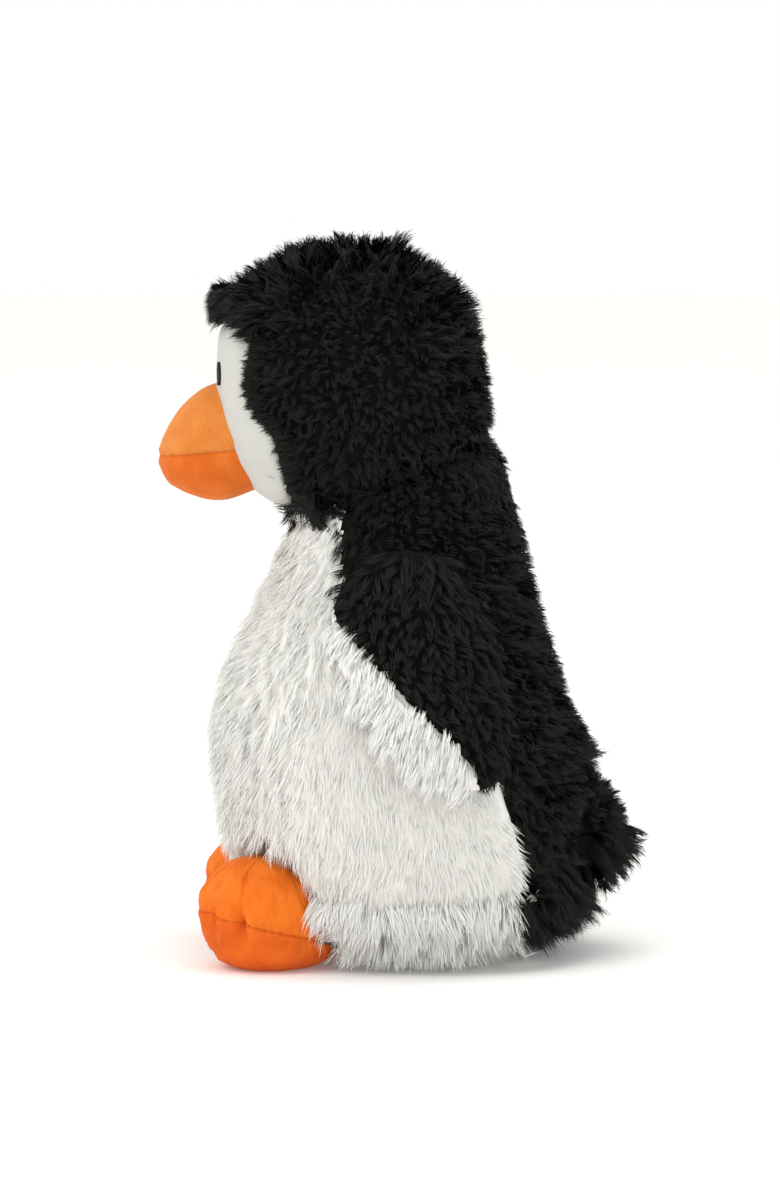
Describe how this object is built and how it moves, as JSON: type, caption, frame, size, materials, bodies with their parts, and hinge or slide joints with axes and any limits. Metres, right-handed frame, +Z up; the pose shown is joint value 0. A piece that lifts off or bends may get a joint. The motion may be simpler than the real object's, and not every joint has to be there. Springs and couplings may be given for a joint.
{
  "type": "plush penguin",
  "caption": "Standing plush penguin with a turning and nodding head, liftable flippers, flexing feet and a stubby tail.",
  "frame": {"origin": "on the floor, under the middle of the toy's outer box", "axes": "+Z up, the beak points along -Y, the penguin's left side is +X"},
  "size_m": [0.1992, 0.2135, 0.33],
  "materials": {
    "black_plush": "long-pile plush in short clumped locks",
    "white_plush": "long straight brushed pile",
    "face_velour": "short smooth velour",
    "orange_velour": "short-nap velour with sewn seams",
    "eye_thread": "dense satin-stitch embroidery",
    "fibre_filling": "loose polyester fibre",
    "grain_cotton": "plain woven cotton over loose grain",
    "label_satin": "blank woven satin ribbon"
  },
  "bodies": {
    "root": {"belly_panel": "white_plush", "back_left": "black_plush", "back_right": "black_plush", "base_panel": "black_plush", "grain_pouch": "grain_cotton", "body_stuffing": "fibre_filling", "label": "label_satin"},
    "neck": {"neck_stuffing": "fibre_filling"},
    "head": {"face_panel": "face_velour", "head_side_left": "black_plush", "head_side_right": "black_plush", "head_stuffing": "fibre_filling", "beak_upper": "orange_velour", "beak_lower": "orange_velour", "beak_stuffing": "fibre_filling", "eye_left": "eye_thread", "eye_right": "eye_thread"},
    "tail": {"tail_upper": "black_plush", "tail_lower": "black_plush", "tail_stuffing": "fibre_filling"},
    "flipper_left": {"flipper_outer_left": "black_plush", "flipper_inner_left": "white_plush", "flipper_stuffing_left": "fibre_filling"},
    "foot_left": {"foot_upper_left": "orange_velour", "foot_sole_left": "orange_velour", "foot_stuffing_left": "fibre_filling"},
    "flipper_right": {"flipper_outer_right": "black_plush", "flipper_inner_right": "white_plush", "flipper_stuffing_right": "fibre_filling"},
    "foot_right": {"foot_upper_right": "orange_velour", "foot_sole_right": "orange_velour", "foot_stuffing_right": "fibre_filling"}
  },
  "joints": [
    {"name": "neck_turn", "type": "hinge", "parent": "root", "child": "neck", "pos_m": [0, 0.0032, 0.2035], "axis": [0, -0.3616, 0.9323], "range_deg": [-20, 20], "stiffness_Nm_per_rad": 1.2},
    {"name": "neck_nod", "type": "hinge", "parent": "neck", "child": "head", "pos_m": [0, 0.0032, 0.2035], "axis": [1, 0, 0], "range_deg": [-8, 8], "stiffness_Nm_per_rad": 1.2},
    {"name": "tail_flex", "type": "hinge", "parent": "root", "child": "tail", "pos_m": [0, 0.0765, 0.059], "axis": [1, 0, 0], "range_deg": [-15, 15], "stiffness_Nm_per_rad": 0.3},
    {"name": "flipper_left_lift", "type": "hinge", "parent": "root", "child": "flipper_left", "pos_m": [0.0625, 0.004, 0.194], "axis": [0, -1, 0], "range_deg": [0, 80]},
    {"name": "foot_left_flex", "type": "hinge", "parent": "root", "child": "foot_left", "pos_m": [0.043, -0.031, 0.014], "axis": [-1, 0, 0], "range_deg": [-12, 8], "stiffness_Nm_per_rad": 0.6},
    {"name": "flipper_right_lift", "type": "hinge", "parent": "root", "child": "flipper_right", "pos_m": [-0.0625, 0.004, 0.194], "axis": [0, 1, 0], "range_deg": [0, 80]},
    {"name": "foot_right_flex", "type": "hinge", "parent": "root", "child": "foot_right", "pos_m": [-0.043, -0.031, 0.014], "axis": [-1, 0, 0], "range_deg": [-12, 8], "stiffness_Nm_per_rad": 0.6}
  ]
}
